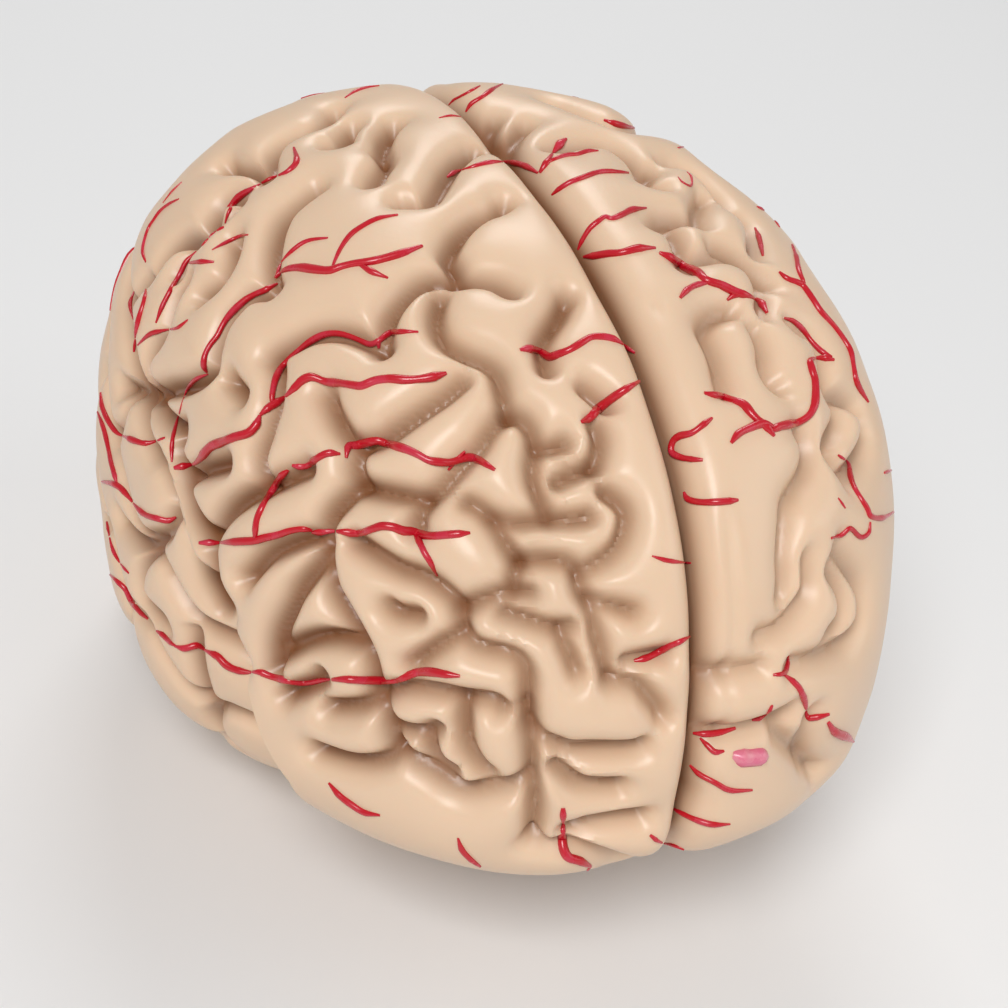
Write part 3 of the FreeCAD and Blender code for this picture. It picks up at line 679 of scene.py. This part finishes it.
def carveCerebellum(sideName, side):
    size = cerebellumSize
    halfHeight, power = (size["top"] + castForm["standDepth"]) / 2, size["roundPower"]
    bm = rolledDome(size["around"], size["outwards"])
    for vert in bm.verts:
        x, y, z = vert.co
        flat = math.copysign(abs(z) ** size["levelPower"], z)
        around = (1 - abs(flat) ** power) ** (1 / power) / max(math.hypot(x, y), 1e-6)
        wave = 0.5 - 0.5 * math.cos(2 * math.pi * size["leaves"] * (0.5 + flat / 2) + size["leafTilt"] * x)
        leaf = 1 - size["leafDepth"] * wave ** size["leafPower"] / size["halfLength"]
        vert.co = (side * (x * around * size["halfWidth"] * leaf + castForm["midlineGap"] / 2),
                   y * around * size["halfLength"] * leaf + size["middle"],
                   flat * halfHeight + size["top"] - halfHeight)
    bmesh.ops.recalc_face_normals(bm, faces=bm.faces[:])
    piece = newMesh(sideName + "Cerebellum", bm)
    # A fixed depth below where the painted shade starts, so the cerebellum gets no painted shade
    notePaintedShade(piece.data, np.full(len(piece.data.vertices), size["paintedShade"]))
    toPlace(piece.data, size["sharpAngle"])
    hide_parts(sideName + "_cerebellum_half")
    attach(piece, sideName + "_cerebellum")
    return piece


# Painted lines: how they are laid on the castings, in millimetres and in points along the line
paintLine = {
    "samples": 7, "hiddenSamples": 9, "startAway": 9, "jump": 4, "fewest": 3, "smoothPasses": 2,
    "taperPoints": 6, "endShare": 0.4, "wobble": 0.3, "wobbleSize": 3.5, "rounding": 2, "proud": 0.1,
}
arteryPaint = {"thickness": 0.52, "lift": 0.02}
smearPaint = {"thickness": 1.0, "lift": -0.5}


def sightLines(path):
    right, up, back, eye = viewAxes()
    units = view["picture"] * view["lens"] / view["sensor"]
    half = view["picture"] / 2
    spots = smoothed(np.array(path, float), paintLine["samples"])
    return [(eye, (right * ((x - half) / units) - up * ((y - half) / units) - back).normalized()) for x, y in spots]


def inwardLines(path, form, side):
    base = outOfView(smoothed(overCrown(path, form, side), paintLine["hiddenSamples"]), form)
    normals = outwardNormals(base, form)
    return [(Vector(q + n * paintLine["startAway"]), Vector(-n)) for q, n in zip(base, normals)]


# Where lines first meet the castings, split where they pass to another casting
def laidRuns(lines, trees):
    runs, last = [], None
    for start, direction in lines:
        tried = [(tree.ray_cast(start, direction), owner) for owner, tree in trees.items()]
        met = [found for found in tried if found[0][0]]
        if not met:
            last = None
            continue
        (place, normal, _, _), owner = min(met, key=lambda found: found[0][3])
        if last is None or last[0] != owner or (place - last[1]).length > paintLine["jump"]:
            runs.append((owner, []))
        runs[-1][1].append((place, normal))
        last = (owner, place)
    return [run for run in runs if len(run[1]) > paintLine["fewest"]]


def newCurve(name):
    curve = bpy.data.curves.new(name, "CURVE")
    curve.dimensions = "3D"
    curve.bevel_depth = 0.5
    curve.bevel_resolution = paintLine["rounding"]
    curve.use_fill_caps = True
    return curve


def addLine(curve, run, width, paint):
    place, normal = (np.array(values) for values in zip(*run))
    for _ in range(paintLine["smoothPasses"]):
        place[1:-1] = (place[:-2] + 2 * place[1:-1] + place[2:]) / 4
        normal[1:-1] = (normal[:-2] + 2 * normal[1:-1] + normal[2:]) / 4
    order = np.arange(len(place))
    taper = np.clip(np.minimum(order, order[::-1]) / paintLine["taperPoints"], 0, 1)
    wobble = np.array([noise.noise(Vector(q) / paintLine["wobbleSize"]) for q in place])
    fullness = (paintLine["endShare"] + (1 - paintLine["endShare"]) * taper) * (1 + paintLine["wobble"] * wobble)
    radii = paint["thickness"] * width / 2 * fullness
    place = place + normal * (paint["lift"] + paintLine["proud"] * radii)[:, None]
    spline = curve.splines.new("POLY")
    spline.points.add(len(place) - 1)
    for point, q, radius in zip(spline.points, place, radii):
        point.co = (*q, 1)
        point.radius = radius * 2


# Raised paint lying on the castings, one piece for each body it lies on
def paintStrokes(name, strokes, trees, material, paint):
    curves = {}
    for width, lines in strokes:
        for owner, run in laidRuns(lines, trees):
            if owner not in curves:
                curves[owner] = newCurve(name + owner)
            addLine(curves[owner], run, width, paint)
    for owner, curve in curves.items():
        line = bpy.data.objects.new(name, curve)
        bpy.context.scene.collection.objects.link(line)
        graph = bpy.context.evaluated_depsgraph_get()
        mesh = bpy.data.meshes.new_from_object(line.evaluated_get(graph))
        bpy.data.objects.remove(line)
        toPlace(mesh)
        mesh.materials.clear()
        mesh.materials.append(material)
        piece = bpy.data.objects.new(name + owner[0].upper() + owner[1:], mesh)
        bpy.context.scene.collection.objects.link(piece)
        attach(piece, owner)


def addNode(tree, kind, values=None):
    node = tree.nodes.new(kind)
    for socket, value in (values or {}).items():
        node.inputs[socket].default_value = value
    return node


def newMaterial(name, values):
    material = bpy.data.materials.new(name)
    material.use_nodes = True
    shader = material.node_tree.nodes["Principled BSDF"]
    for socket, value in values.items():
        shader.inputs[socket].default_value = value
    return material, material.node_tree, shader


# The depth range and the dark colours below give painted shade, darkening the grooves brown by depth
castLook = {
    "shader": {"Specular IOR Level": 0.45, "Subsurface Weight": 0.12, "Subsurface Scale": 0.004},
    "cloud": {"Scale": 45, "Detail": 4}, "grain": {"Scale": 900, "Detail": 3},
    "paintedShade": {"From Min": 1.5, "From Max": 5.4}, "shade": {"To Min": 0.95, "To Max": 1.05},
    "gloss": {"To Min": 0.3, "To Max": 0.43}, "bump": {"Strength": 0.12, "Distance": 0.0002},
    "lobes": {"Pale": (0.76, 0.545, 0.376, 1), "Shaded": (0.25, 0.1, 0.04, 1)},
    "stem": {"Pale": (0.70, 0.48, 0.32, 1), "Shaded": (0.33, 0.155, 0.07, 1)},
}


# Cast vinyl, pale on the folds and slightly mottled, with painted shade that turns the grooves brown by depth
def toneAndShadeGroup():
    group = bpy.data.node_groups.new("castToneAndPaintedShade", "ShaderNodeTree")
    for name, way, kind in (("Pale", "INPUT", "Color"), ("Shaded", "INPUT", "Color"), ("PaintedShade", "INPUT", "Float"),
                            ("Color", "OUTPUT", "Color"), ("Roughness", "OUTPUT", "Float"),
                            ("Height", "OUTPUT", "Float")):
        group.interface.new_socket(name, in_out=way, socket_type="NodeSocket" + kind)
    link = group.links.new
    given, put = addNode(group, "NodeGroupInput"), addNode(group, "NodeGroupOutput")
    place = addNode(group, "ShaderNodeTexCoord")
    cloud = addNode(group, "ShaderNodeTexNoise", castLook["cloud"])
    grain = addNode(group, "ShaderNodeTexNoise", castLook["grain"])
    ramp = addNode(group, "ShaderNodeMapRange", castLook["paintedShade"])
    ramp.interpolation_type = "SMOOTHSTEP"
    mix = addNode(group, "ShaderNodeMix")
    mix.data_type = "RGBA"
    mixPale, mixShaded, mixed = mix.inputs[6], mix.inputs[7], mix.outputs[2]  # the colour sockets
    shade = addNode(group, "ShaderNodeMapRange", castLook["shade"])
    gloss = addNode(group, "ShaderNodeMapRange", castLook["gloss"])
    tone = addNode(group, "ShaderNodeHueSaturation")
    link(place.outputs["Object"], cloud.inputs["Vector"])
    link(place.outputs["Object"], grain.inputs["Vector"])
    # Groove depth mixes in the dark colour: painted shade
    link(given.outputs["PaintedShade"], ramp.inputs["Value"])
    link(ramp.outputs["Result"], mix.inputs["Factor"])
    link(given.outputs["Pale"], mixPale)
    link(given.outputs["Shaded"], mixShaded)
    link(cloud.outputs["Fac"], shade.inputs["Value"])
    link(cloud.outputs["Fac"], gloss.inputs["Value"])
    link(shade.outputs["Result"], tone.inputs["Value"])
    link(mixed, tone.inputs["Color"])
    link(tone.outputs["Color"], put.inputs["Color"])
    link(gloss.outputs["Result"], put.inputs["Roughness"])
    link(grain.outputs["Fac"], put.inputs["Height"])
    return group


def castMaterial(name, group, colors):
    material, tree, shader = newMaterial(name, castLook["shader"])
    tone = addNode(tree, "ShaderNodeGroup")
    tone.node_tree = group
    for socket, color in colors.items():
        tone.inputs[socket].default_value = color
    # The stored groove depth drives the painted shade
    paintedShade = addNode(tree, "ShaderNodeAttribute")
    paintedShade.attribute_name = "paintedShade"
    bump = addNode(tree, "ShaderNodeBump", castLook["bump"])
    tree.links.new(paintedShade.outputs["Fac"], tone.inputs["PaintedShade"])
    tree.links.new(tone.outputs["Color"], shader.inputs["Base Color"])
    tree.links.new(tone.outputs["Roughness"], shader.inputs["Roughness"])
    tree.links.new(tone.outputs["Height"], bump.inputs["Height"])
    tree.links.new(bump.outputs["Normal"], shader.inputs["Normal"])
    return material


paintLook = {
    "shader": {"Specular IOR Level": 0.6}, "cloud": {"Scale": 260, "Detail": 3},
    "gloss": {"To Min": 0.18, "To Max": 0.34}, "fullUntil": 0.5, "thinFrom": 0.78,
    "red": ((0.52, 0.004, 0.016, 1), (0.58, 0.03, 0.07, 1)),
    "pink": ((0.70, 0.14, 0.24, 1), (0.76, 0.3, 0.34, 1)),
}


# Hand paint that is thinner in places
def paintMaterial(name, full, thin):
    material, tree, shader = newMaterial(name, paintLook["shader"])
    place = addNode(tree, "ShaderNodeTexCoord")
    cloud = addNode(tree, "ShaderNodeTexNoise", paintLook["cloud"])
    gloss = addNode(tree, "ShaderNodeMapRange", paintLook["gloss"])
    ramp = addNode(tree, "ShaderNodeValToRGB")
    start, end = ramp.color_ramp.elements
    start.position, start.color = paintLook["fullUntil"], full
    end.position, end.color = paintLook["thinFrom"], thin
    tree.links.new(place.outputs["Object"], cloud.inputs["Vector"])
    tree.links.new(cloud.outputs["Fac"], ramp.inputs["Fac"])
    tree.links.new(cloud.outputs["Fac"], gloss.inputs["Value"])
    tree.links.new(ramp.outputs["Color"], shader.inputs["Base Color"])
    tree.links.new(gloss.outputs["Result"], shader.inputs["Roughness"])
    return material


steelLook = {
    "shader": {"Base Color": (0.62, 0.62, 0.63, 1), "Metallic": 1}, "turned": {"Scale": 1500},
    "gloss": {"To Min": 0.22, "To Max": 0.4},
}


def steelMaterial(name):
    material, tree, shader = newMaterial(name, steelLook["shader"])
    place = addNode(tree, "ShaderNodeTexCoord")
    turned = addNode(tree, "ShaderNodeTexNoise", steelLook["turned"])
    gloss = addNode(tree, "ShaderNodeMapRange", steelLook["gloss"])
    tree.links.new(place.outputs["Object"], turned.inputs["Vector"])
    tree.links.new(turned.outputs["Fac"], gloss.inputs["Value"])
    tree.links.new(gloss.outputs["Result"], shader.inputs["Roughness"])
    return material


def dress(piece, material):
    piece.data.materials.clear()
    piece.data.materials.append(material)


tone = toneAndShadeGroup()
vinyl = castMaterial("beigeVinyl", tone, castLook["lobes"])
stemVinyl = castMaterial("stemVinyl", tone, castLook["stem"])
arteryRed = paintMaterial("arteryRed", *paintLook["red"])
smearPink = paintMaterial("smearPink", *paintLook["pink"])
steel = steelMaterial("pinSteel")

trees = {}
for sideName, side in (("right", -1), ("left", 1)):
    upper, lower = carveHalf(sideName, side)
    cerebellum = carveCerebellum(sideName, side)
    for piece in (upper, lower, cerebellum):
        dress(piece, vinyl)
    for key, piece in ((sideName + "_upper", upper), (sideName + "_lower", lower)):
        verts = [v.co * 1000 - centre for v in piece.data.vertices]
        trees[key] = BVHTree.FromPolygons(verts, [tuple(face.vertices) for face in piece.data.polygons])

seen = [(width, sightLines(path)) for width, path in rightStrokes + rightTemporalStrokes + leftStrokes]
hidden = [(width, inwardLines(path, castForm, side)) for side in (-1, 1) for width, path in backStrokes]
smears = [(width, sightLines(path)) for width, path in leftPinkStrokes]
paintStrokes("arteries", seen + hidden, trees, arteryRed, arteryPaint)
paintStrokes("smear", smears, trees, smearPink, smearPaint)
print("arteries painted")

for name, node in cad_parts.items():
    if "_pin" in name:
        dress(node, steel)
    elif name.endswith("brainstem_half"):
        dress(node, stemVinyl)

# Metres, and watts for the lamps
room = {
    "floor": 6.0, "floorLook": {"Base Color": (0.82, 0.82, 0.82, 1), "Roughness": 0.8},
    "air": {"Color": (0.9, 0.9, 0.9, 1), "Strength": 0.36}, "nearest": 0.01,
    "lamps": [("key", (-0.55, -0.75, 1.0), 11.5, 0.5), ("fill", (0.9, -0.5, 0.5), 2.2, 0.7),
              ("rim", (0.3, 0.8, 0.9), 4.0, 0.5)],
}


def layFloor():
    bm = bmesh.new()
    bmesh.ops.create_grid(bm, x_segments=1, y_segments=1, size=room["floor"] / 2)
    floor = newMesh("floor", bm)
    material, _, _ = newMaterial("paleFloor", room["floorLook"])
    floor.data.materials.append(material)


def lightRoom():
    world = bpy.data.worlds.new("softRoom")
    bpy.context.scene.world = world
    world.use_nodes = True
    for socket, value in room["air"].items():
        world.node_tree.nodes["Background"].inputs[socket].default_value = value
    for name, place, power, width in room["lamps"]:
        lamp = bpy.data.lights.new(name, "AREA")
        lamp.energy = power
        lamp.size = width
        light = bpy.data.objects.new(name, lamp)
        bpy.context.scene.collection.objects.link(light)
        light.location = place
        light.rotation_euler = (centre / 1000 - Vector(place)).to_track_quat("-Z", "Y").to_euler()


def placeCamera():
    right, up, back, eye = viewAxes()
    camera = bpy.data.cameras.new("camera")
    camera.lens = view["lens"]
    camera.sensor_width = view["sensor"]
    camera.clip_start = room["nearest"]
    holder = bpy.data.objects.new("camera", camera)
    bpy.context.scene.collection.objects.link(holder)
    turned = Matrix((right, up, back)).transposed().to_4x4()
    holder.matrix_world = Matrix.Translation((eye + centre) / 1000) @ turned
    bpy.context.scene.camera = holder


layFloor()
lightRoom()
placeCamera()
bpy.context.scene.view_settings.view_transform = "Standard"
print("scene ready")
